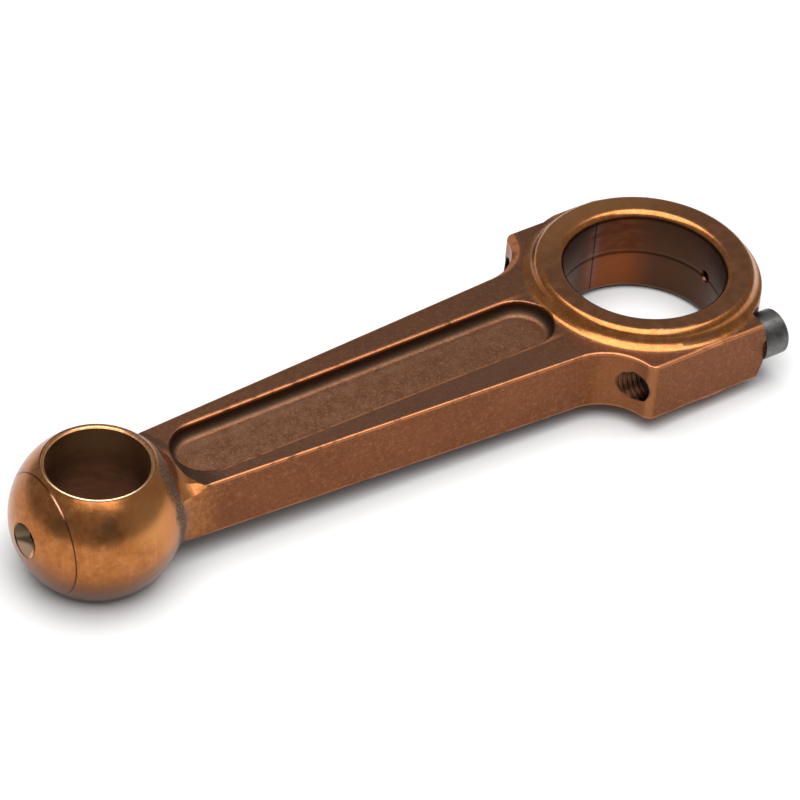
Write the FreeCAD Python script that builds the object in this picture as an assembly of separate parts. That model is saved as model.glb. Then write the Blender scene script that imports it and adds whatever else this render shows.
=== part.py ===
import FreeCAD, Part
import math
import os
from FreeCAD import Placement, Rotation, Vector

# Connecting rod with a ball-shaped small end and a split, screwed big end.
# Millimetres. The origin is the centre of the ball, +X runs from the ball to the crank bore,
# +Z is the axis of both bores and +Y is across the rod.

# small end: a ball, faced flat above and below, with a plain bore through it
BALL_DIAMETER = 23.81           # 15/16 in
BALL_HEIGHT = 17.94             # over the two faced rims
PIN_BORE_DIAMETER = 14.29       # 9/16 in
PIN_BORE_EDGE_BREAK = 0.26
BALL_OIL_HOLE_DIAMETER = 2.6
BALL_OIL_MOUTH_DIAMETER = 5.2   # countersunk mouth
BALL_OIL_HOLE_Y = -0.95         # the hole is drilled a little off the rod's centre line
BALL_OIL_HOLE_Z = 1.0
TURNED_LINE_X = -8.2            # the lathe tool left a fine line around the ball here
TURNED_LINE_DEPTH = 0.07
TURNED_LINE_WIDTH = 0.30

# beam: tapers in width from the ball to the big end, with a milled slot in each face
CENTRES = 90.7
BEAM_START = 5.0                # buried in the ball
BEAM_HALF_WIDTH_AT_BALL = 6.30  # half width where X = 0
BEAM_WIDENING = 0.056           # half width gained per millimetre of X
BEAM_HALF_DEPTH_AT_BALL = 4.43
NECK_FILLET = 3.0               # between the ball and the beam
EDGE_ROUND = 0.28               # worn edges of the beam, the shoulders and the slots
CORNER_BLEND_RADIUS = 13.2      # one upper corner of the beam is rounded off by hand at the ball
CORNER_BLEND_CENTRE = Vector(19.3, -1.26, -5.6)
SLOT_HALF_WIDTH = 4.89
SLOT_FIRST_CENTRE = 17.0        # centres of the slot's two round ends
SLOT_LAST_CENTRE = 68.95
SLOT_DEPTH = 2.1
SLOT_FLOOR_RADIUS = 1.25        # corner radius of the milling cutter

# big end: a ring around the crank bore with a shoulder for a screw on each side
CRANK_BORE_DIAMETER = 23.3
BORE_MOUTH_RADIUS = 1.2
RING_DIAMETER = 34.0
RING_HEIGHT = 14.0
RING_CENTRE = Vector(CENTRES + 0.18, 0.24, 0)   # turned a little off the bore's axis
RING_TOP_RADIUS = 14.8          # edge of the flat top, where the ring starts to round over
RING_EDGE_RADIUS = 1.2
RING_FOOT_RADIUS = 2.0          # hollow between the ring and the shoulders
RING_WALL_ROUND = 0.35          # where that hollow runs off the ring's outer wall
OIL_GROOVE_WIDTH = 0.9          # runs round the crank bore at mid height
OIL_GROOVE_DEPTH = 0.09
CAP_OIL_HOLE_DIAMETER = 1.5
CAP_OIL_MOUTH_DIAMETER = 1.7
JOINT_EDGE_BREAK = 0.07         # broken edges where the joint crosses the crank bore

NEAR_WIDTH = 17.6               # from the rod's centre line to the side of each shoulder
FAR_WIDTH = 17.35
FOOT_FAR_WIDTH = 17.75          # the ring's foot runs a little past the far side
SHOULDER_HALF_DEPTH = 4.78
SHOULDER_END = 99.8             # X of the faces the screw heads sit on
SHOULDER_END_SLOPES = (23.0, 60.0)      # degrees, turned around the near and the far screw
SHOULDER_END_FLAT = 3.3         # radius where the slope starts
SHOULDER_CORNER_RADIUS = 1.6
SHOULDER_FILLET = 7.55          # in plan, from the beam's side to the shoulder
NEAR_FILLET_X = 71.9            # X of that fillet's centre
FAR_FILLET_X = 70.8

# two number 8-32 socket head cap screws
SCREW_SPACING = 29.6
SCREW_DIAMETER = 4.166
SCREW_PITCH = 25.4 / 32
SCREW_THREAD_DEPTH = 0.6134 * SCREW_PITCH
SCREW_TIP_CHAMFER = 0.7
SCREW_LENGTH = 19.05            # under the head
HEAD_DIAMETER = 6.65
HEAD_HEIGHT = 4.17
HEAD_EDGE = 0.32
SOCKET_ACROSS_FLATS = 3.57      # 9/64 in
SOCKET_DEPTH = 1.95
CAP_HOLE_DIAMETER = 4.70
ROD_HOLE_DIAMETER = 4.27        # running clearance on the screw's thread crests
ROD_THREAD_DEPTH = 0.45 * SCREW_PITCH
ROD_HOLE_START = 60.0           # X where the screw holes begin, in the open beside the beam
SPOTFACE_DIAMETER = 7.7

TALL = 60.0                     # longer than anything, for cutting tools
X_AXIS, Y_AXIS, Z_AXIS = Vector(1, 0, 0), Vector(0, 1, 0), Vector(0, 0, 1)
ORIGIN = Vector(0, 0, 0)


def face(edges):
    """A flat face inside a closed loop of edges."""
    return Part.Face(Part.Wire(edges))


def lines(points):
    """Straight edges through the points."""
    return [Part.LineSegment(a, b).toShape() for a, b in zip(points, points[1:])]


def arc(centre, radius, start, end, plane):
    """An arc by centre and angles in degrees; plane is "xy" or "xz"."""
    def at(angle):
        u, v = radius * math.cos(math.radians(angle)), radius * math.sin(math.radians(angle))
        return centre + (Vector(u, v, 0) if plane == "xy" else Vector(u, 0, v))
    return Part.Arc(at(start), at((start + end) / 2.0), at(end)).toShape()


def turned(edges, point, axis):
    """The solid swept by a face turned once about an axis."""
    return face(edges).revolve(point, axis, 360)


def box(x0, x1, y0, y1, z0, z1):
    return Part.makeBox(x1 - x0, y1 - y0, z1 - z0, Vector(x0, y0, z0))


def beam_half_width(x):
    return BEAM_HALF_WIDTH_AT_BALL + BEAM_WIDENING * x


def mirrored_y(shape):
    return shape.mirror(ORIGIN, Y_AXIS)


def make_ball():
    """The ball with its two flat rims, before any hole."""
    ball = Part.makeSphere(BALL_DIAMETER / 2)
    return ball.common(box(-20, 20, -20, 20, -BALL_HEIGHT / 2, BALL_HEIGHT / 2))


def make_half_plan(half_height, half_width, fillet_x):
    """The far half of the beam and shoulders in plan, cut square top and bottom."""
    radius, corner = SHOULDER_FILLET, SHOULDER_CORNER_RADIUS
    slope = math.atan(BEAM_WIDENING)
    # the fillet touches the beam's side, the corner touches the shoulder's side
    fillet = Vector(fillet_x, beam_half_width(fillet_x) + radius / math.cos(slope), 0)
    corner_y = half_width - corner
    reach = math.sqrt((radius + corner) ** 2 - (fillet.y - corner_y) ** 2)
    corner_centre = Vector(fillet.x + reach, corner_y, 0)
    towards = math.degrees(math.atan2(corner_centre.y - fillet.y, corner_centre.x - fillet.x))
    on_beam = math.degrees(slope) - 90.0
    loop = lines([Vector(BEAM_START, 0, 0),
                  Vector(BEAM_START, beam_half_width(BEAM_START), 0),
                  fillet + Vector(radius * math.sin(slope), -radius * math.cos(slope), 0)])
    loop.append(arc(fillet, radius, on_beam, towards, "xy"))
    loop.append(arc(corner_centre, corner, towards + 180.0, 90.0, "xy"))
    loop += lines([Vector(corner_centre.x, half_width, 0),
                   Vector(SHOULDER_END, half_width, 0),
                   Vector(SHOULDER_END, 0, 0),
                   Vector(BEAM_START, 0, 0)])
    half = face(loop).extrude(Vector(0, 0, 2 * half_height))
    half.translate(Vector(0, 0, -half_height))
    return half


def make_plan(half_height, far_width):
    far = make_half_plan(half_height, far_width, FAR_FILLET_X)
    near = mirrored_y(make_half_plan(half_height, NEAR_WIDTH, NEAR_FILLET_X))
    return far.fuse(near).removeSplitter()


def make_side():
    """Beam and shoulders seen from the side, as a prism across the rod."""
    grow = (SHOULDER_HALF_DEPTH - BEAM_HALF_DEPTH_AT_BALL) / NEAR_FILLET_X
    start = BEAM_HALF_DEPTH_AT_BALL + grow * BEAM_START
    upper = [(BEAM_START, start), (NEAR_FILLET_X, SHOULDER_HALF_DEPTH),
             (SHOULDER_END, SHOULDER_HALF_DEPTH)]
    outline = upper + [(x, -z) for x, z in reversed(upper)] + upper[:1]
    return face(lines([Vector(x, -20, z) for x, z in outline])).extrude(Vector(0, 40, 0))


def make_round_body(walled):
    """The big end's round body, solid through. Its edge rounds over, then hollows out; the hollow
    runs off an outer wall, or runs on out to the height of the shoulders."""
    half, convex, hollow = RING_HEIGHT / 2, RING_EDGE_RADIUS, RING_FOOT_RADIUS
    # the two arcs meet where both have turned through the same angle
    sweep = math.acos(1 - (half - SHOULDER_HALF_DEPTH) / (convex + hollow))
    turn = math.degrees(sweep)
    edge = Vector(RING_TOP_RADIUS, 0, half - convex)
    centre = edge + (convex + hollow) * Vector(math.sin(sweep), 0, math.cos(sweep))
    loop = lines([ORIGIN, Vector(0, 0, half), Vector(RING_TOP_RADIUS, 0, half)])
    loop.append(arc(edge, convex, 90, 90 - turn, "xz"))
    if walled:
        wall, blend = RING_DIAMETER / 2, RING_WALL_ROUND
        run = centre.x - wall + blend
        fall = math.sqrt((hollow + blend) ** 2 - run ** 2)
        meet = math.degrees(math.atan2(fall, run))
        outer = Vector(wall, 0, centre.z - fall)
        loop.append(arc(centre, hollow, 270 - turn, 180 + meet, "xz"))
        loop.append(arc(outer - Vector(blend, 0, 0), blend, meet, 0, "xz"))
    else:
        outer = Vector(centre.x, 0, SHOULDER_HALF_DEPTH)
        loop.append(arc(centre, hollow, 270 - turn, 270, "xz"))
    loop += lines([outer, Vector(outer.x, 0, 0), ORIGIN])
    upper = turned(loop, ORIGIN, Z_AXIS)
    body = upper.fuse(upper.mirror(ORIGIN, Z_AXIS)).removeSplitter()
    body.translate(RING_CENTRE)
    return body


def turned_end(y, end_slope):
    """Everything inside the sloping end face turned around one screw."""
    drop = (30.0 - SHOULDER_END_FLAT) * math.tan(math.radians(end_slope))
    loop = lines([Vector(0, y, 0), Vector(SHOULDER_END, y, 0),
                  Vector(SHOULDER_END, y + SHOULDER_END_FLAT, 0),
                  Vector(SHOULDER_END - drop, y + 30.0, 0),
                  Vector(0, y + 30.0, 0), Vector(0, y, 0)])
    return turned(loop, Vector(0, y, 0), X_AXIS)


def make_slot_cutter():
    """The milling cutter's path for the slot in the upper face."""
    floor = SHOULDER_HALF_DEPTH - SLOT_DEPTH
    ends = [Part.makeCylinder(SLOT_HALF_WIDTH, 8, Vector(x, 0, floor))
            for x in (SLOT_FIRST_CENTRE, SLOT_LAST_CENTRE)]
    middle = box(SLOT_FIRST_CENTRE, SLOT_LAST_CENTRE, -SLOT_HALF_WIDTH, SLOT_HALF_WIDTH,
                 floor, floor + 8)
    cutter = middle.fuse(ends).removeSplitter()
    rim = [e for e in cutter.Edges if abs(e.BoundBox.ZMax - floor) < 1e-4]
    cutter = cutter.makeFillet(SLOT_FLOOR_RADIUS, rim)
    # the slot's floor follows the beam's taper
    fall = (SHOULDER_HALF_DEPTH - BEAM_HALF_DEPTH_AT_BALL) / NEAR_FILLET_X
    tilt = Rotation(Y_AXIS, -math.degrees(math.atan(fall)))
    pivot = Vector(SLOT_LAST_CENTRE, 0, SHOULDER_HALF_DEPTH)
    cutter.Placement = Placement(ORIGIN, tilt, pivot)
    return cutter


def make_bore_cutter():
    """Crank bore with rounded mouths and an oil groove at mid height."""
    radius, half = CRANK_BORE_DIAMETER / 2, RING_HEIGHT / 2
    mouth, groove = BORE_MOUTH_RADIUS, OIL_GROOVE_WIDTH / 2
    loop = lines([Vector(0, 0, 0), Vector(radius + OIL_GROOVE_DEPTH, 0, 0),
                  Vector(radius, 0, groove), Vector(radius, 0, half - mouth)])
    loop.append(arc(Vector(radius + mouth, 0, half - mouth), mouth, 180, 90, "xz"))
    loop += lines([Vector(radius + mouth, 0, half), Vector(radius + mouth, 0, half + 2),
                   Vector(0, 0, half + 2), Vector(0, 0, 0)])
    upper = turned(loop, ORIGIN, Z_AXIS)
    cutter = upper.fuse(upper.mirror(ORIGIN, Z_AXIS)).removeSplitter()
    cutter.translate(Vector(CENTRES, 0, 0))
    return cutter


def make_pin_bore_cutter():
    """Pin bore with its edges just broken."""
    radius, half, edge = PIN_BORE_DIAMETER / 2, BALL_HEIGHT / 2, PIN_BORE_EDGE_BREAK
    outline = [(0, -half - 1), (radius + edge, -half - 1), (radius + edge, -half),
               (radius, -half + edge), (radius, half - edge), (radius + edge, half),
               (radius + edge, half + 1), (0, half + 1), (0, -half - 1)]
    return turned(lines([Vector(r, 0, z) for r, z in outline]), ORIGIN, Z_AXIS)


def make_ball_oil_hole():
    """Oil hole from the ball's free side into the pin bore."""
    reach = math.sqrt((BALL_DIAMETER / 2) ** 2 - (BALL_OIL_MOUTH_DIAMETER / 2) ** 2)
    hole, mouth = BALL_OIL_HOLE_DIAMETER / 2, BALL_OIL_MOUTH_DIAMETER / 2
    outline = [(-4, 0), (-4, hole), (-reach + (mouth - hole) * 1.15, hole),
               (-reach, mouth), (-15, mouth), (-15, 0), (-4, 0)]
    axis = Vector(0, BALL_OIL_HOLE_Y, BALL_OIL_HOLE_Z)
    return turned(lines([axis + Vector(x, r, 0) for x, r in outline]), axis, X_AXIS)


def make_turned_line():
    """The fine V line left around the ball by the lathe tool."""
    radius = math.sqrt((BALL_DIAMETER / 2) ** 2 - TURNED_LINE_X ** 2)
    slope = Vector(TURNED_LINE_X, radius, 0).normalize()
    along = Vector(-slope.y, slope.x, 0)
    surface = Vector(TURNED_LINE_X, radius, 0)
    tip = surface - slope * TURNED_LINE_DEPTH
    left = surface + slope * 0.1 + along * TURNED_LINE_WIDTH / 2
    right = surface + slope * 0.1 - along * TURNED_LINE_WIDTH / 2
    return turned(lines([tip, left, right, tip]), ORIGIN, X_AXIS)


def make_corner_waste():
    """Waste outside the hand-finished upper corner of the beam, beside the ball."""
    kept = Part.makeSphere(CORNER_BLEND_RADIUS, CORNER_BLEND_CENTRE)
    return box(6, 15, -9, -1.5, -1, 6).cut(kept)


def make_screw(y):
    """Cap screw with its head on the +X side."""
    seat, tip = SHOULDER_END, SHOULDER_END - SCREW_LENGTH
    crest, depth, chamfer = SCREW_DIAMETER / 2, SCREW_THREAD_DEPTH, SCREW_TIP_CHAMFER
    head, top = HEAD_DIAMETER / 2, SHOULDER_END + HEAD_HEIGHT
    outline = [(seat, head), (top - HEAD_EDGE, head), (top, head - HEAD_EDGE), (top, 0), (tip, 0),
               (tip, crest - chamfer), (tip + chamfer, crest)]
    # the thread is drawn as rings, one per pitch
    flank = depth * math.tan(math.radians(30))
    x = tip + 1.0
    while x + SCREW_PITCH < seat - 0.5:
        outline += [(x, crest), (x + flank, crest - depth),
                    (x + flank + SCREW_PITCH / 8, crest - depth),
                    (x + 2 * flank + SCREW_PITCH / 8, crest)]
        x += SCREW_PITCH
    outline += [(seat, crest), (seat, head)]
    screw = turned(lines([Vector(x, y + r, 0) for x, r in outline]), Vector(0, y, 0), X_AXIS)
    across = SOCKET_ACROSS_FLATS / math.sqrt(3)
    corners = [Vector(top + 1, y + across * math.cos(math.radians(60 * i)),
                      across * math.sin(math.radians(60 * i))) for i in range(7)]
    socket = face(lines(corners)).extrude(Vector(-SOCKET_DEPTH - 1, 0, 0))
    cone = Part.makeCone(across * 0.98, 0.2, 0.9, Vector(top - SOCKET_DEPTH, y, 0), Vector(-1, 0, 0))
    lead_in = Part.makeCone(across, across + 0.3, 0.3, Vector(top - 0.2, y, 0), X_AXIS)
    return screw.cut(socket.fuse([cone, lead_in]))


def long_edges(body):
    """The edges between the sides of the beam and shoulders and their upper and lower faces."""
    def is_long(edge):
        middle = edge.discretize(3)[1]
        flat = abs(edge.BoundBox.ZMax - edge.BoundBox.ZMin) < 0.5 and abs(middle.z) > 4.3
        return flat and BEAM_START + 0.5 < middle.x < SHOULDER_END - 0.5 and abs(middle.y) > 6.0
    return [e for e in body.Edges if is_long(e)]


def slot_mouth(body):
    """The edges around the open side of both slots."""
    def on_mouth(edge):
        for p in edge.discretize(5):
            past = max(SLOT_FIRST_CENTRE - p.x, p.x - SLOT_LAST_CENTRE, 0)
            if abs(math.hypot(past, p.y) - SLOT_HALF_WIDTH) > 0.06 or abs(p.z) < 4.3:
                return False
        return True
    return [e for e in body.Edges if on_mouth(e)]


def make_thread_cutter(y):
    """The thread in the rod's screw hole, drawn as rings."""
    hole, start = ROD_HOLE_DIAMETER / 2, CENTRES - 0.6
    x = start
    outline = [(x, 0), (x, hole)]
    while x > NEAR_FILLET_X:
        outline += [(x - SCREW_PITCH / 2, hole + ROD_THREAD_DEPTH), (x - SCREW_PITCH, hole)]
        x -= SCREW_PITCH
    outline += [(x, 0), (start, 0)]
    return turned(lines([Vector(x, y + r, 0) for x, r in outline]), Vector(0, y, 0), X_AXIS)


def make_screw_holes(y):
    """The threaded hole in the rod, the clearance hole in the cap and the seat for the head."""
    def drilled(diameter, x, length):
        return Part.makeCylinder(diameter / 2, length, Vector(x, y, 0), X_AXIS)
    return [drilled(ROD_HOLE_DIAMETER, ROD_HOLE_START, CENTRES - ROD_HOLE_START),
            make_thread_cutter(y),
            drilled(CAP_HOLE_DIAMETER, CENTRES, 20),
            drilled(SPOTFACE_DIAMETER, SHOULDER_END, 20)]


def make_cap_oil_hole():
    """Oil hole from the crank bore straight out through the cap."""
    hole, mouth = CAP_OIL_HOLE_DIAMETER / 2, CAP_OIL_MOUTH_DIAMETER / 2
    wall = CENTRES + CRANK_BORE_DIAMETER / 2
    return [Part.makeCylinder(hole, 12, Vector(wall - 2, 0, 0), X_AXIS),
            Part.makeCone(mouth + 0.3, hole, 0.7, Vector(wall - 0.3, 0, 0), X_AXIS)]


def make_joint_break(side):
    """The broken edges where the joint meets the crank bore, on one side of it."""
    y, w = side * CRANK_BORE_DIAMETER / 2, JOINT_EDGE_BREAK
    corners = [Vector(CENTRES - w, y - side * 0.02, -8), Vector(CENTRES, y + side * w, -8),
               Vector(CENTRES + w, y - side * 0.02, -8), Vector(CENTRES, y - side * 2, -8)]
    return face(lines(corners + corners[:1])).extrude(Vector(0, 0, 16))


def make_whole_rod():
    """Rod and cap in one piece, with every hole, before the cap is parted off."""
    body = make_plan(8, FAR_WIDTH).common(make_side())
    body = body.makeFillet(EDGE_ROUND, long_edges(body))
    foot = make_round_body(False).common(make_plan(8, FOOT_FAR_WIDTH))
    near_slope, far_slope = SHOULDER_END_SLOPES
    ends = turned_end(-SCREW_SPACING / 2, near_slope).fuse(turned_end(SCREW_SPACING / 2, far_slope))
    body = body.fuse(foot).common(ends).cut(make_corner_waste())
    body = body.fuse(make_ball()).removeSplitter()

    # hollow the corner between the ball and the beam
    radius = BALL_DIAMETER / 2

    def on_ball(edge):
        points = edge.discretize(7)
        return (all(abs(p.Length - radius) < 0.01 for p in points)
                and points[3].x > 6 and abs(points[3].z) < BALL_HEIGHT / 2 - 0.1)

    neck = [e for e in body.Edges if on_ball(e)]
    body = body.makeFillet(NECK_FILLET, neck)

    slot = make_slot_cutter()
    body = body.cut(slot).cut(slot.mirror(ORIGIN, Z_AXIS))
    body = body.makeFillet(EDGE_ROUND, slot_mouth(body))
    body = body.fuse(make_round_body(True)).removeSplitter()
    cutters = [make_bore_cutter(), make_pin_bore_cutter(), make_ball_oil_hole(), make_turned_line()]
    cutters += make_cap_oil_hole()
    for side in (-1, 1):
        cutters += make_screw_holes(side * SCREW_SPACING / 2)
        cutters.append(make_joint_break(side))
    for cutter in cutters:
        body = body.cut(cutter)
    return body


def save(shape, node):
    """Write one node, checking that it is a single closed solid."""
    solids = shape.Solids
    print(node, "solids", len(solids), "valid", shape.isValid(), "volume %.1f" % shape.Volume)
    solids[0].exportStep("parts/%s.step" % node)


os.makedirs("parts", exist_ok=True)
whole = make_whole_rod()
save(whole.common(box(-TALL, CENTRES, -TALL, TALL, -TALL, TALL)), "rod_body")
save(whole.common(box(CENTRES, CENTRES + TALL, -TALL, TALL, -TALL, TALL)), "bearing_cap")
save(make_screw(-SCREW_SPACING / 2), "near_cap_screw")
save(make_screw(SCREW_SPACING / 2), "far_cap_screw")
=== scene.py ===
"""Materials, light and camera for the connecting rod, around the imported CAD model."""
import math
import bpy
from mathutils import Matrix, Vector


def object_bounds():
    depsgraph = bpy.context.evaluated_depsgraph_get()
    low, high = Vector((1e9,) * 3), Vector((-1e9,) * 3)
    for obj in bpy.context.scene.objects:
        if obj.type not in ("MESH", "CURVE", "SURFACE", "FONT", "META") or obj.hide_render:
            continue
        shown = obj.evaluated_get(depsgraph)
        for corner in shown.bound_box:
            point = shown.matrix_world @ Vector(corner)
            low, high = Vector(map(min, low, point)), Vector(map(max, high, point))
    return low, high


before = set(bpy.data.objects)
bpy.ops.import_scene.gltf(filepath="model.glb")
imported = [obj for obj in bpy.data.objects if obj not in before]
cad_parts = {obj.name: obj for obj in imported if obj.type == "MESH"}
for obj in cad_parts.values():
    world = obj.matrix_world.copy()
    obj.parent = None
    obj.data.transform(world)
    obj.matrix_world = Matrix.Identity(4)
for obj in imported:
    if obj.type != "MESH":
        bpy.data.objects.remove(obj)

from types import SimpleNamespace

import bpy
from mathutils import Matrix, Vector

MM = 0.001
cad_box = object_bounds()

# sizes and places on the rod, in millimetres; the wrist pin's axis is at X = 0, Y = 0
BALL_RADIUS = 11.9
BALL_HALF_HEIGHT = 8.97
PIN_BORE_RADIUS = 7.15
BALL_OIL_HOLE_Y, BALL_OIL_HOLE_Z = -0.95, 1.0
BALL_OIL_MOUTH_RADIUS = 2.6
TURNED_LINE_X = -8.2
BEAM_HALF_WIDTH = 6.30              # where X = 0
BEAM_WIDENING = 0.056               # half width gained per millimetre of X
BEAM_HALF_DEPTH = 4.43              # where X = 0
BEAM_DEEPENING = 0.00487            # half depth gained per millimetre of X, as far as the shoulders
SLOT_FIRST_X, SLOT_LAST_X = 17.0, 68.95     # centres of the slot's round ends
SLOT_FLOOR_HALF_WIDTH = 3.55
SHOULDER_X = 71.9                   # centre of the fillet between beam and shoulder
FILLET_CENTRE_Y = 17.88
FILLET_RADIUS = 7.7
SHOULDER_HALF_DEPTH = 4.8
SHOULDER_HALF_WIDTH = 17.25
# a painted highlight runs down the shoulder's corner here
CORNER_HIGHLIGHT_X = 79.9                # the shoulder's corner towards the ball
SCREW_Y = 14.8
SCREW_HOLE_RADIUS = 2.2
CRANK_X = 90.7
CRANK_BORE_RADIUS = 11.7
RING_X, RING_Y = 90.88, 0.24
RING_FOOT_RADIUS = 17.6
RING_TOP_RADIUS = 15.0
RING_HALF_HEIGHT = 6.99

# where the marks left by handling and by hand work are, and where highlights are painted, in millimetres
BLEND_X, BLEND_Y = 19.1, -2.1       # centre of the hand-blended corner beside the ball
BLEND_RADIUS = 7.8
NECK_LINE_X = 8.45                  # the stained line around the neck, where Z = 0
NECK_LINE_LEAN = -0.115
DARK_SPOTS = (((-4.15, -9.68, 5.55), 2.6), ((-9.1, -5.2, 5.7), 2.4))    # centre and radius
# a painted highlight on the ball below the pin bore's near rim
HIGHLIGHT_SPOT = ((2.0, -10.0, 5.5), 4.6)
# where the turned line carries a painted highlight
HIGHLIT_PART_OF_LINE = ((-8.3, -3.5, 7.7), 2.6)

# the copper's colours
BEAM = SimpleNamespace(
    dark=(0.150, 0.047, 0.014, 1), light=(0.176, 0.057, 0.018, 1),
    light_mottle=(0.270, 0.105, 0.042, 1), dark_mottle=(0.115, 0.044, 0.020, 1),
    light_grain=(0.28, 0.115, 0.050, 1), dark_grain=(0.120, 0.046, 0.024, 1),
    # shade is painted shade for the flat tops
    shade=(0.115, 0.050, 0.028, 1), haze=(0.34, 0.25, 0.19, 1),
    # the second colour on the next line is a painted highlight down the shoulder's corner
    shoulder_wall=(0.300, 0.120, 0.055, 1), corner_highlight=(0.300, 0.120, 0.050, 1),
    # next two lines: rubbed edges with a painted highlight, painted shade for inner corners, painted shade
    # inside the screw holes
    worn_and_highlit=(0.50, 0.190, 0.080, 1), occlusion_shade=(0.050, 0.030, 0.020, 1),
    shaded_screw_hole=(0.075, 0.036, 0.022, 1))
POLISHED = SimpleNamespace(
    dark=(0.345, 0.118, 0.032, 1), light=(0.420, 0.154, 0.046, 1),
    turned=(0.47, 0.185, 0.062, 1), cloud=(0.270, 0.120, 0.050, 1),
    light_mottle=(0.50, 0.235, 0.100, 1), dark_mottle=(0.225, 0.085, 0.030, 1),
    lit_towards_beam=(0.53, 0.215, 0.070, 1), dark_spot=(0.150, 0.072, 0.030, 1),
    highlight_spot=(0.58, 0.250, 0.080, 1), shaded_underside=(0.158, 0.056, 0.019, 1),
    line=(0.110, 0.050, 0.026, 1), highlight_line=(0.95, 0.52, 0.36, 1))
# far is painted light, the ring's top lighter on its far side
RING_TOP = SimpleNamespace(
    dark=(0.255, 0.106, 0.046, 1), light=(0.310, 0.130, 0.060, 1), far=(0.440, 0.185, 0.066, 1))
CRANK_WALL = SimpleNamespace(
    upper=(0.105, 0.029, 0.012, 1), lower=(0.195, 0.052, 0.015, 1), streak=(0.190, 0.066, 0.028, 1),
    end=(0.070, 0.031, 0.017, 1), joint_stain=(0.15, 0.10, 0.085, 1), joint=(0.030, 0.018, 0.014, 1))
# top is painted light on the bore's wall near its upper mouth
PIN_WALL = SimpleNamespace(
    dark=(0.150, 0.066, 0.030, 1), light=(0.200, 0.088, 0.042, 1), top=(0.330, 0.190, 0.085, 1),
    # the second colour on the next line is a painted highlight on the rim's side towards the camera
    rim=(0.50, 0.215, 0.080, 1), near_rim_highlight=(0.86, 0.58, 0.32, 1), fleck=(0.95, 0.82, 0.68, 1))
# the oil hole: upper is painted shade, lower painted light, glint a painted highlight
OIL_HOLE = SimpleNamespace(
    upper=(0.085, 0.060, 0.034, 1), lower=(0.165, 0.118, 0.064, 1), glint=(0.85, 0.55, 0.36, 1))
# the last two colours: painted light along the floor's far edge, painted shade on the slot's walls
SLOT = SimpleNamespace(
    dark=(0.200, 0.083, 0.041, 1), light=(0.265, 0.117, 0.062, 1), grain=(0.38, 0.19, 0.11, 1),
    haze=(0.42, 0.25, 0.16, 1), wall=(0.046, 0.029, 0.018, 1))
NECK = SimpleNamespace(
    # the first colour on the next line darkens the land beside the slot's end near the ball
    land_darkening=(0.050, 0.026, 0.018, 1), dark=(0.230, 0.080, 0.024, 1), light=(0.330, 0.128, 0.042, 1),
    # the first colour on the next line is a painted reflection
    bright=(0.62, 0.250, 0.085, 1), stain=(0.120, 0.080, 0.046, 1),
    dark_grit=(0.045, 0.030, 0.020, 1), light_grit=(0.36, 0.30, 0.24, 1))
STEEL = SimpleNamespace(dark=(0.095, 0.090, 0.087, 1), light=(0.160, 0.152, 0.148, 1))
PAPER = SimpleNamespace(dark=(0.70, 0.70, 0.695, 1), light=(0.72, 0.72, 0.715, 1), roughness=0.9)

# the camera: where it aims on the rod, the direction it looks from, and its lens
CAMERA_AIM = Vector((38.53, -13.98, 13.99)) * MM
CAMERA_AZIMUTH = -36.945
CAMERA_ELEVATION = 40.590
CAMERA_ROLL = 4.803
CAMERA_DISTANCE = 0.54843
CAMERA_LENS = 184.38
CAMERA_SENSOR = 36.0
CAMERA_CLIP = (0.01, 20.0)

# the light, in metres and watts
STUDIO_COLOUR = (0.95, 0.98, 1.0, 1)
STUDIO_STRENGTH = 0.36
SOFT_BOX_SIZE = (0.70, 0.79)
SOFT_BOX_POWER = 7.8
SOFT_BOX_PLACE = Vector((-0.063, -0.084, 0.60))     # from the middle of the rod

# the floor touches the ball's lower rim and the lower edge of the ring's far side
BALL_FOOT = Vector((7.8, 0, -BALL_HALF_HEIGHT)) * MM
RING_FOOT = Vector((105.5, 0, -7.0)) * MM
FLOOR_SIZE = 6.0
FLOOR_GAP = 0.02 * MM


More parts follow.
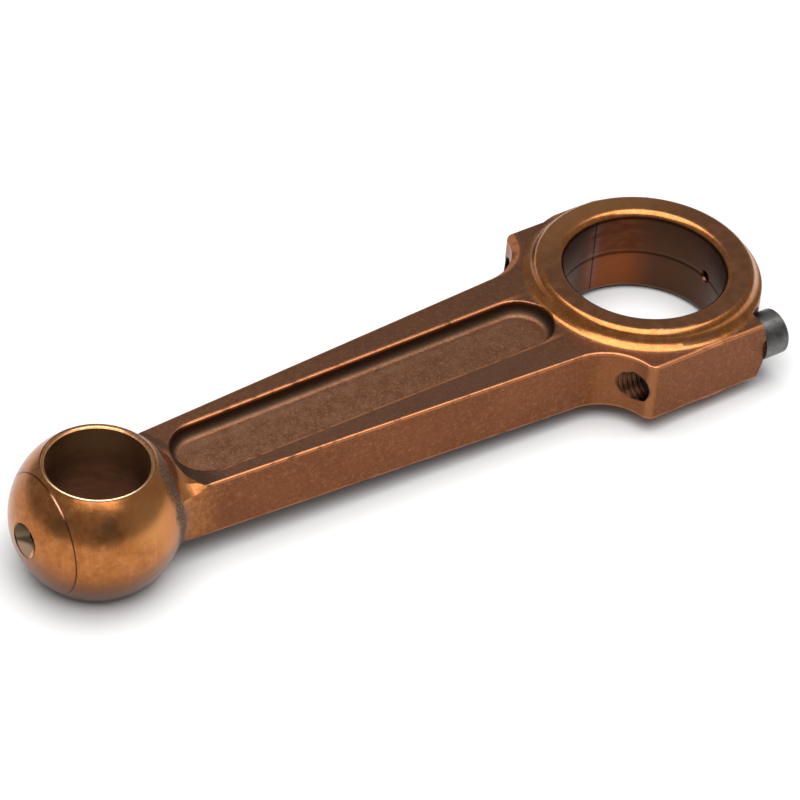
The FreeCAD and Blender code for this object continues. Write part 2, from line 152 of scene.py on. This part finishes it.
class Nodes:
    """Builds one material's node tree; the methods return output sockets."""

    def __init__(self, name):
        self.material = bpy.data.materials.new(name)
        self.material.use_nodes = True
        self.tree = self.material.node_tree
        self.tree.nodes.clear()
        coordinates = self.add("ShaderNodeTexCoord")
        scale = self.add("ShaderNodeVectorMath", operation="SCALE")
        scale.inputs["Scale"].default_value = 1 / MM
        self.link(coordinates.outputs["Object"], scale.inputs[0])
        self.place = scale.outputs[0]
        parts = self.add("ShaderNodeSeparateXYZ")
        self.link(self.place, parts.inputs[0])
        self.x, self.y, self.z = parts.outputs

    def add(self, kind, **settings):
        node = self.tree.nodes.new(kind)
        for name, value in settings.items():
            setattr(node, name, value)
        return node

    def link(self, value, socket):
        """Puts a socket or a plain value into an input."""
        if isinstance(value, bpy.types.NodeSocket):
            self.tree.links.new(value, socket)
        else:
            socket.default_value = value

    def math(self, operation, *values):
        node = self.add("ShaderNodeMath", operation=operation)
        for value, socket in zip(values, node.inputs):
            self.link(value, socket)
        return node.outputs[0]

    def line(self, value, slope, start):
        """start + slope * value"""
        return self.math("MULTIPLY_ADD", value, slope, start)

    def off(self, value, centre):
        """How far a value is from a centre, either way."""
        return self.math("ABSOLUTE", self.math("SUBTRACT", value, centre))

    def joined(self, x, y, z):
        node = self.add("ShaderNodeCombineXYZ")
        for value, socket in zip((x, y, z), node.inputs):
            self.link(value, socket)
        return node.outputs[0]

    def length(self, vector):
        node = self.add("ShaderNodeVectorMath", operation="LENGTH")
        self.link(vector, node.inputs[0])
        return node.outputs[1]

    def radius(self, first, second, centre=(0.0, 0.0)):
        """Distance in a plane from a centre."""
        return self.length(self.joined(self.math("SUBTRACT", first, centre[0]),
                                       self.math("SUBTRACT", second, centre[1]), 0.0))

    def stretched(self, x, y, z):
        """The place with each axis scaled, for noise that runs in lines."""
        return self.joined(self.math("MULTIPLY", self.x, x), self.math("MULTIPLY", self.y, y),
                           self.math("MULTIPLY", self.z, z))

    def step(self, value, start, end):
        """0 before start, 1 after end and smooth between; start may be the larger."""
        node = self.add("ShaderNodeMapRange", interpolation_type="SMOOTHSTEP")
        swap = start > end
        low, high = sorted((start, end))
        self.link(value, node.inputs["Value"])
        node.inputs["From Min"].default_value = low
        node.inputs["From Max"].default_value = high
        node.inputs["To Min"].default_value = 1.0 if swap else 0.0
        node.inputs["To Max"].default_value = 0.0 if swap else 1.0
        return node.outputs["Result"]

    def noise(self, scale, detail, roughness, seed, place=None):
        node = self.add("ShaderNodeTexNoise", noise_dimensions="4D")
        self.link(place or self.place, node.inputs["Vector"])
        node.inputs["W"].default_value = seed
        node.inputs["Scale"].default_value = scale
        node.inputs["Detail"].default_value = detail
        node.inputs["Roughness"].default_value = roughness
        return node.outputs["Fac"]

    def blend(self, amount, first, second):
        """A colour between first and second."""
        node = self.add("ShaderNodeMix", data_type="RGBA")
        self.link(amount, node.inputs[0])
        self.link(first, node.inputs[6])
        self.link(second, node.inputs[7])
        return node.outputs[2]

    def paint(self, under, shade, *masks):
        """A shade laid over a colour where all the masks hold; a plain number thins it."""
        return self.blend(self.both(*masks), under, shade)

    def both(self, *masks):
        result = masks[0]
        for mask in masks[1:]:
            result = self.math("MULTIPLY", result, mask)
        return result

    def either(self, *masks):
        result = masks[0]
        for mask in masks[1:]:
            result = self.math("MAXIMUM", result, mask)
        return result

    def occlusion(self, distance):
        """How open the surface is: 1 in the open, less in inner corners."""
        node = self.add("ShaderNodeAmbientOcclusion", samples=6)
        node.inputs["Distance"].default_value = distance * MM
        return node.outputs["AO"]

    def spot(self, centre, radius, wander):
        """1 within a ragged patch around a place in millimetres."""
        node = self.add("ShaderNodeVectorMath", operation="DISTANCE")
        self.link(self.place, node.inputs[0])
        self.link(centre, node.inputs[1])
        return self.step(self.math("ADD", node.outputs[1], wander), radius, radius * 0.3)

    def bump(self, height, distance, strength, under=None):
        node = self.add("ShaderNodeBump")
        node.inputs["Strength"].default_value = strength
        node.inputs["Distance"].default_value = distance * MM
        self.link(height, node.inputs["Height"])
        if under is not None:
            self.link(under, node.inputs["Normal"])
        return node.outputs["Normal"]

    def surface(self, colour, roughness, metallic=0.0, normal=None):
        """Ends the tree in one surface and returns the material."""
        shader = self.add("ShaderNodeBsdfPrincipled")
        shader.inputs["Metallic"].default_value = metallic
        self.link(colour, shader.inputs["Base Color"])
        self.link(roughness, shader.inputs["Roughness"])
        if normal is not None:
            self.link(normal, shader.inputs["Normal"])
        output = self.add("ShaderNodeOutputMaterial")
        self.tree.links.new(shader.outputs[0], output.inputs[0])
        return self.material


def find_patterns(n):
    """Noise from broad to fine, turning lines around the ball, and streaks along the bores."""
    return SimpleNamespace(
        broad=n.noise(0.16, 3.0, 0.55, seed=1.0),
        patches=n.noise(0.55, 4.0, 0.6, seed=2.0),
        mottle=n.noise(1.3, 3.0, 0.6, seed=10.0),
        grain=n.noise(3.4, 3.0, 0.65, seed=3.0),
        fine=n.noise(8.0, 2.0, 0.5, seed=4.0),
        turned=n.noise(1.0, 3.0, 0.6, seed=8.0, place=n.stretched(1.6, 0.10, 0.10)),
        streaks=n.noise(1.0, 3.0, 0.6, seed=9.0, place=n.stretched(0.35, 0.35, 0.9)))


def find_distances(n):
    """How far a point is from the rod's centres and faces, in millimetres."""
    d = SimpleNamespace()
    d.height = n.math("ABSOLUTE", n.z)
    d.side = n.math("ABSOLUTE", n.y)
    d.ball = n.length(n.place)
    d.pin = n.length(n.joined(n.x, n.y, 0.0))
    d.crank = n.radius(n.x, n.y, (CRANK_X, 0.0))
    d.ring = n.radius(n.x, n.y, (RING_X, RING_Y))
    d.oil_hole = n.radius(n.y, n.z, (BALL_OIL_HOLE_Y, BALL_OIL_HOLE_Z))
    d.fillet = n.radius(n.x, d.side, (SHOULDER_X, FILLET_CENTRE_Y))
    d.screw = n.radius(d.side, n.z, (SCREW_Y, 0.0))
    d.corner_highlight = n.radius(n.x, d.side, (CORNER_HIGHLIGHT_X, SHOULDER_HALF_WIDTH))
    d.joint = n.off(n.x, CRANK_X)
    beam_depth = n.line(n.math("MINIMUM", n.x, SHOULDER_X), BEAM_DEEPENING, BEAM_HALF_DEPTH)
    d.below_top = n.math("SUBTRACT", beam_depth, d.height)
    d.past_side = n.math("SUBTRACT", d.side, n.line(n.x, BEAM_WIDENING, BEAM_HALF_WIDTH))
    past_slot_end = n.math("MAXIMUM", n.math("MAXIMUM", n.math("SUBTRACT", SLOT_FIRST_X, n.x),
                                             n.math("SUBTRACT", n.x, SLOT_LAST_X)), 0.0)
    d.slot_middle = n.length(n.joined(past_slot_end, n.y, 0.0))
    return d


def find_places(n, d):
    """Masks that tell which part of the surface a point is on."""
    m = SimpleNamespace()
    m.ball = n.step(d.ball, BALL_RADIUS + 0.7, BALL_RADIUS + 0.2)
    m.pin_bore = n.step(d.pin, PIN_BORE_RADIUS + 0.20, PIN_BORE_RADIUS + 0.07)
    m.rim = n.both(n.step(d.height, BALL_HALF_HEIGHT - 0.31, BALL_HALF_HEIGHT - 0.23),
                   n.step(d.pin, PIN_BORE_RADIUS - 0.01, PIN_BORE_RADIUS + 0.02),
                   n.step(d.pin, PIN_BORE_RADIUS + 0.60, PIN_BORE_RADIUS + 0.45))
    # the rim's side towards the camera is painted as a highlight
    nearness = n.math("ADD", n.math("MULTIPLY", n.x, -0.60), n.math("MULTIPLY", n.y, -0.80))
    m.near_rim_highlight = n.both(m.rim, n.step(nearness, 2.5, 6.5))
    in_oil_mouth = n.step(d.oil_hole, BALL_OIL_MOUTH_RADIUS + 0.15, BALL_OIL_MOUTH_RADIUS - 0.05)
    m.ball_oil_hole = n.both(in_oil_mouth, n.step(d.ball, BALL_RADIUS - 0.02, BALL_RADIUS - 0.2),
                             n.step(n.x, -5.0, -6.0))
    m.turned_line = n.both(m.ball, n.step(n.off(n.x, TURNED_LINE_X), 0.16, 0.06))

    m.ring = n.both(n.step(d.ring, RING_FOOT_RADIUS + 1.0, RING_FOOT_RADIUS),
                    n.step(d.height, SHOULDER_HALF_DEPTH - 0.01, SHOULDER_HALF_DEPTH + 0.1))
    m.ring_top = n.both(n.step(d.height, RING_HALF_HEIGHT - 0.09, RING_HALF_HEIGHT),
                        n.step(d.ring, RING_TOP_RADIUS + 0.4, RING_TOP_RADIUS))
    m.crank_bore = n.step(d.crank, CRANK_BORE_RADIUS + 0.15, CRANK_BORE_RADIUS)
    m.joint_line = n.both(m.crank_bore, n.step(d.joint, 0.14, 0.08))
    m.polished = n.either(m.ball, m.ring, m.crank_bore)

    # painted shade inside the screw holes through the shoulders
    m.shaded_screw_hole = n.both(n.step(d.screw, SCREW_HOLE_RADIUS + 0.35, SCREW_HOLE_RADIUS),
                          n.step(n.x, 72.0, 73.0))
    # painted highlight: a strip down the shoulder's corner towards the ball
    m.corner_highlight = n.step(d.corner_highlight, 0.95, 0.35)
    m.shoulder_wall = n.both(n.step(d.fillet, FILLET_RADIUS + 0.7, FILLET_RADIUS + 0.4),
                             n.step(n.x, 73.0, 76.0), n.step(d.side, 10.0, 11.5))
    m.flat_top = n.both(n.step(d.below_top, 0.20, 0.02), n.step(d.past_side, 12.0, 9.0))
    m.slot = n.both(n.step(d.below_top, 0.30, 0.45), n.step(d.side, 6.0, 5.2), n.step(n.x, 10.5, 11.5),
                    n.step(n.x, 76.0, 74.0))
    # painted shade on the slot's walls
    m.slot_wall = n.both(m.slot, n.step(d.slot_middle, SLOT_FLOOR_HALF_WIDTH, SLOT_FLOOR_HALF_WIDTH + 1.0))
    # painted shade: darker where ambient occlusion finds an inner corner
    m.occlusion_shade = n.step(n.occlusion(1.3), 0.62, 0.35)
    return m


def find_worn_highlight(n, d, t):
    """The upper edges where the tarnish is rubbed off, with a painted highlight along them too."""
    near_top = n.step(d.below_top, 0.50, 0.12)
    beam_edge = n.both(n.step(d.past_side, -0.45, -0.15), n.step(n.x, 11.0, 14.0),
                       n.step(n.x, 73.0, 72.0))
    fillet_edge = n.both(n.step(d.fillet, FILLET_RADIUS + 0.3, FILLET_RADIUS),
                         n.step(n.x, 71.0, 72.0), n.step(n.x, 80.5, 79.5))
    shoulder_edge = n.step(d.side, SHOULDER_HALF_WIDTH - 0.25, SHOULDER_HALF_WIDTH)
    slot_edge = n.both(n.step(d.side, 5.45, 5.2), n.step(d.side, 4.5, 4.75), n.step(n.x, 15.0, 18.0),
                       n.step(n.x, 74.0, 69.0))
    return n.both(near_top, n.either(beam_edge, fillet_edge, shoulder_edge, slot_edge),
                  n.step(t.patches, 0.28, 0.52), n.step(d.height, 5.0, 4.9))


def find_neck(n, d, t):
    """The neck's marks: a stained line that leans with height, and the corner blended by hand."""
    neck_line = n.line(n.z, NECK_LINE_LEAN, NECK_LINE_X)
    past_line = n.math("SUBTRACT", n.x, neck_line)
    off_line = n.math("ABSOLUTE", n.math("ADD", past_line, n.line(t.patches, 2.4, -1.2)))
    near_line = n.step(n.line(t.grain, 1.2, off_line), 2.10, 1.00)
    stain = n.both(near_line, n.step(d.ball, 14.5, 13.5), n.step(d.pin, 7.8, 8.4),
                   n.step(t.grain, 0.32, 0.50))

    blend_edge = n.math("ADD", n.radius(n.x, n.y, (BLEND_X, BLEND_Y)), n.line(t.patches, 0.6, -0.3))
    near_neck = n.both(n.step(n.x, 16.0, 10.5), n.step(n.y, 3.0, 0.5), n.step(d.pin, 8.0, 8.6))
    outside_edge = n.either(n.step(blend_edge, BLEND_RADIUS - 0.15, BLEND_RADIUS + 0.15),
                            n.step(d.height, 4.35, 3.8))
    blended = n.both(near_neck, outside_edge, n.step(d.ball, BALL_RADIUS - 0.2, BALL_RADIUS - 0.05),
                     n.step(n.z, -5.5, -3.0), n.step(past_line, 0.2, 1.2))
    # the land beside the slot's end near the ball, painted darker
    darkened_land = n.both(n.step(blend_edge, BLEND_RADIUS + 0.2, BLEND_RADIUS - 0.05),
                        n.step(n.x, 17.5, 13.0), n.step(d.below_top, 0.5, 0.1),
                        n.step(d.height, 5.6, 5.2))
    return SimpleNamespace(stain=stain, blended=blended, darkened_land=darkened_land)


def beam_colour(n, m, t):
    colour = n.blend(n.step(t.broad, 0.35, 0.65), BEAM.dark, BEAM.light)
    colour = n.paint(colour, BEAM.light_mottle, n.step(t.mottle, 0.50, 0.72), 0.7)
    colour = n.paint(colour, BEAM.dark_mottle, n.step(t.mottle, 0.48, 0.28), 0.7)
    colour = n.paint(colour, BEAM.light_grain, n.step(t.grain, 0.48, 0.75), 0.8)
    colour = n.paint(colour, BEAM.dark_grain, n.step(t.fine, 0.50, 0.30), 0.8)
    # painted shade over the flat tops, heavier on the near side short of the shoulders
    top_painted_shade = n.line(n.both(n.step(n.y, 2.0, -2.0), n.step(n.x, 72.0, 62.0)), 0.35, 0.10)
    colour = n.paint(colour, BEAM.shade, m.flat_top, top_painted_shade)
    colour = n.paint(colour, BEAM.haze, m.flat_top, 0.12)
    colour = n.paint(colour, BEAM.shoulder_wall, m.shoulder_wall, 0.30)
    # painted highlight down the shoulder's corner
    return n.paint(colour, BEAM.corner_highlight, m.corner_highlight, 0.6)


def polished_colour(n, m, t):
    """The ball and the outside of the ring."""
    ragged = n.line(t.patches, 3.0, -1.5)
    dark_spots = n.either(*(n.spot(centre, radius, ragged) for centre, radius in DARK_SPOTS))
    colour = n.blend(n.step(t.patches, 0.36, 0.66), POLISHED.dark, POLISHED.light)
    colour = n.paint(colour, POLISHED.turned, n.step(t.turned, 0.50, 0.72), 0.7)
    colour = n.paint(colour, POLISHED.cloud, n.step(t.broad, 0.54, 0.68), 0.6)
    colour = n.paint(colour, POLISHED.light_mottle, n.step(t.mottle, 0.50, 0.70), 0.40)
    colour = n.paint(colour, POLISHED.dark_mottle, n.step(t.mottle, 0.48, 0.30), 0.45)
    # painted light: the ball lighter on its upper side towards the beam
    colour = n.paint(colour, POLISHED.lit_towards_beam, m.ball, n.step(n.x, 0.0, 5.0),
                     n.step(n.z, -2.0, 1.0), 0.6)
    colour = n.paint(colour, POLISHED.dark_spot, dark_spots, 0.52)
    # painted highlight on the ball below the near rim
    colour = n.paint(colour, POLISHED.highlight_spot, n.spot(*HIGHLIGHT_SPOT, ragged), 0.7)
    # painted shade: the ball and ring darker towards the bottom
    colour = n.paint(colour, POLISHED.shaded_underside, n.step(n.z, 1.5, -4.5), 0.85)
    colour = n.paint(colour, POLISHED.line, m.turned_line, 0.6)
    # painted highlight along part of the turned line
    return n.paint(colour, POLISHED.highlight_line, m.turned_line, n.spot(*HIGHLIT_PART_OF_LINE, 0.0))


def slot_colour(n, d, m, t):
    colour = n.blend(n.step(t.patches, 0.35, 0.65), SLOT.dark, SLOT.light)
    colour = n.paint(colour, SLOT.grain, n.step(t.grain, 0.45, 0.75))
    # painted light along the far edge of the slot's floor, where it turns up into the wall
    lit_far_strip = n.both(n.step(n.y, 1.2, 3.0),
                       n.step(d.slot_middle, SLOT_FLOOR_HALF_WIDTH + 0.25, SLOT_FLOOR_HALF_WIDTH - 0.15))
    colour = n.paint(colour, SLOT.haze, lit_far_strip, 0.25)
    # painted shade on the slot's walls
    return n.paint(colour, SLOT.wall, m.slot_wall, 0.90)


def neck_colour(n, d, t):
    colour = n.blend(n.step(t.mottle, 0.35, 0.65), NECK.dark, NECK.light)
    # painted reflection: the blended corner brighter close to the ball and high up
    return n.paint(colour, NECK.bright, n.step(d.ball, 13.4, 12.4), n.step(n.z, 2.0, 4.5))


def ring_top_colour(n, t):
    colour = n.blend(n.step(t.patches, 0.35, 0.65), RING_TOP.dark, RING_TOP.light)
    # painted light: the ring's top lighter on the far side
    return n.paint(colour, RING_TOP.far, n.step(n.y, 5.0, 15.0))


def crank_wall_colour(n, t):
    colour = n.blend(n.step(n.z, 0.4, -0.9), CRANK_WALL.upper, CRANK_WALL.lower)
    colour = n.paint(colour, CRANK_WALL.streak, n.step(t.streaks, 0.40, 0.70), 0.5)
    return n.paint(colour, CRANK_WALL.end, n.either(n.step(n.x, 95.0, 100.0), n.step(n.x, 91.5, 87.5)))


def pin_wall_colour(n, t):
    colour = n.blend(n.step(t.streaks, 0.35, 0.65), PIN_WALL.dark, PIN_WALL.light)
    # painted light: the wall lighter towards the bore's upper mouth
    return n.paint(colour, PIN_WALL.top, n.step(n.z, 3.0, 8.0))


def oil_hole_colour(n):
    # painted shade on the upper wall, painted light on the lower, then a painted glint lowest
    colour = n.blend(n.step(n.z, 1.2, -0.2), OIL_HOLE.upper, OIL_HOLE.lower)
    return n.paint(colour, OIL_HOLE.glint, n.step(n.z, -0.35, -0.8))


def copper(name):
    """Copper plate, tarnished brown: polished ball and ring, grainy sides and slots."""
    n = Nodes(name)
    t = find_patterns(n)
    d = find_distances(n)
    m = find_places(n, d)
    neck = find_neck(n, d, t)
    worn_and_highlit = find_worn_highlight(n, d, t)

    colour = n.blend(m.polished, beam_colour(n, m, t), polished_colour(n, m, t))
    colour = n.paint(colour, slot_colour(n, d, m, t), m.slot)
    # the land beside the slot's end near the ball, painted darker
    colour = n.paint(colour, NECK.land_darkening, neck.darkened_land, 0.75)
    colour = n.paint(colour, neck_colour(n, d, t), neck.blended)
    colour = n.paint(colour, ring_top_colour(n, t), m.ring_top)
    colour = n.paint(colour, crank_wall_colour(n, t), m.crank_bore)
    joint_stain = n.both(m.crank_bore, n.step(d.joint, 1.6, 0.1), n.step(t.streaks, 0.35, 0.60))
    colour = n.paint(colour, CRANK_WALL.joint_stain, joint_stain, 0.6)
    colour = n.paint(colour, CRANK_WALL.joint, m.joint_line, 0.8)
    colour = n.paint(colour, pin_wall_colour(n, t), m.pin_bore)
    colour = n.paint(colour, PIN_WALL.rim, m.rim)
    # painted highlight on the rim's side towards the camera
    colour = n.paint(colour, PIN_WALL.near_rim_highlight, m.near_rim_highlight)
    colour = n.paint(colour, PIN_WALL.fleck, m.rim, n.step(t.fine, 0.58, 0.66))
    colour = n.paint(colour, oil_hole_colour(n), m.ball_oil_hole)
    # painted shade inside the screw holes
    colour = n.paint(colour, BEAM.shaded_screw_hole, m.shaded_screw_hole)
    colour = n.paint(colour, NECK.stain, neck.stain, 0.9)
    colour = n.paint(colour, NECK.dark_grit, neck.stain, n.step(t.fine, 0.52, 0.42))
    colour = n.paint(colour, NECK.light_grit, neck.stain, n.step(t.fine, 0.54, 0.64))
    # rubbed edges, partly a painted highlight along the upper edges
    colour = n.paint(colour, BEAM.worn_and_highlit, worn_and_highlit)
    # painted shade in the inner corners
    colour = n.paint(colour, BEAM.occlusion_shade, m.occlusion_shade, 0.75)

    rough = n.line(t.grain, 0.18, 0.25)
    shine = n.line(t.patches, 0.14, 0.18)
    roughness = n.math("ADD", n.math("MULTIPLY", rough, n.math("SUBTRACT", 1.0, m.polished)),
                       n.math("MULTIPLY", shine, m.polished))
    dull = n.either(neck.stain, m.occlusion_shade, n.math("MULTIPLY", m.pin_bore, 1.6), m.crank_bore)
    for mask, extra in ((dull, 0.12), (neck.stain, 0.25), (worn_and_highlit, 0.06), (m.slot_wall, 0.22)):
        roughness = n.line(mask, extra, roughness)

    # grain and turning marks, then the pin bore's rim rolled outwards
    gritty = n.line(n.either(m.polished, worn_and_highlit), -0.85, 1.0)
    relief = n.math("MULTIPLY", n.math("ADD", t.grain, n.math("MULTIPLY", t.fine, 0.5)), gritty)
    relief = n.line(n.both(t.turned, m.ball), 0.25, relief)
    normal = n.bump(relief, distance=0.06, strength=0.6)
    rolled = n.math("MULTIPLY", n.both(m.rim, d.pin), -0.20)
    normal = n.bump(rolled, distance=1.0, strength=1.0, under=normal)
    return n.surface(colour, roughness, metallic=1.0, normal=normal)


def black_steel(name):
    n = Nodes(name)
    cloud = n.noise(0.9, 3.0, 0.6, seed=5.0)
    fine = n.noise(9.0, 2.0, 0.5, seed=6.0)
    colour = n.blend(n.step(cloud, 0.35, 0.7), STEEL.dark, STEEL.light)
    return n.surface(colour, n.line(fine, 0.18, 0.28), metallic=1.0, normal=n.bump(fine, 0.01, 0.4))


def pale_paper(name):
    n = Nodes(name)
    shade = n.noise(0.004, 2.0, 0.5, seed=7.0)
    return n.surface(n.blend(n.step(shade, 0.3, 0.7), PAPER.dark, PAPER.light), PAPER.roughness)


def put_material(thing, material):
    thing.data.materials.clear()
    thing.data.materials.append(material)


def dress_cad():
    put_material(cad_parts["rod_body"], copper("copper_rod"))
    put_material(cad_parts["bearing_cap"], copper("copper_cap"))
    steel = black_steel("black_screw")
    for name in ("near_cap_screw", "far_cap_screw"):
        put_material(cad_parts[name], steel)


def make_floor():
    bpy.ops.mesh.primitive_plane_add(size=FLOOR_SIZE, location=(0, 0, 0))
    floor = bpy.context.object
    floor.name = "floor"
    slope = math.atan2(RING_FOOT.z - BALL_FOOT.z, RING_FOOT.x - BALL_FOOT.x)
    floor.rotation_euler = (0, -slope, 0)
    normal = Vector((-math.sin(slope), 0, math.cos(slope)))
    floor.location = BALL_FOOT - normal * FLOOR_GAP
    put_material(floor, pale_paper("floor_paper"))


def make_light():
    """A dim studio with one large soft box overhead, squared to the camera's direction."""
    world = bpy.data.worlds.new("studio")
    bpy.context.scene.world = world
    world.use_nodes = True
    background = world.node_tree.nodes["Background"]
    background.inputs["Color"].default_value = STUDIO_COLOUR
    background.inputs["Strength"].default_value = STUDIO_STRENGTH
    data = bpy.data.lights.new("overhead", "AREA")
    data.shape = "RECTANGLE"
    data.size, data.size_y = SOFT_BOX_SIZE
    data.energy = SOFT_BOX_POWER
    light = bpy.data.objects.new("overhead", data)
    bpy.context.scene.collection.objects.link(light)
    light.location = (cad_box[0] + cad_box[1]) / 2 + SOFT_BOX_PLACE
    light.rotation_euler = (0, 0, math.radians(CAMERA_AZIMUTH))


def make_camera():
    azimuth, elevation = math.radians(CAMERA_AZIMUTH), math.radians(CAMERA_ELEVATION)
    back = Vector((math.sin(azimuth) * math.cos(elevation), -math.cos(azimuth) * math.cos(elevation),
                   math.sin(elevation)))
    level = Vector((math.cos(azimuth), math.sin(azimuth), 0))
    right = Matrix.Rotation(math.radians(CAMERA_ROLL), 3, back) @ level
    up = back.cross(right)
    data = bpy.data.cameras.new("camera")
    data.lens = CAMERA_LENS
    data.sensor_width = CAMERA_SENSOR
    data.clip_start, data.clip_end = CAMERA_CLIP
    camera = bpy.data.objects.new("camera", data)
    bpy.context.scene.collection.objects.link(camera)
    pose = Matrix((right, up, back)).transposed().to_4x4()
    pose.translation = CAMERA_AIM + back * CAMERA_DISTANCE
    camera.matrix_world = pose
    bpy.context.scene.camera = camera


dress_cad()
make_floor()
make_light()
make_camera()
bpy.context.scene.view_settings.view_transform = "Standard"
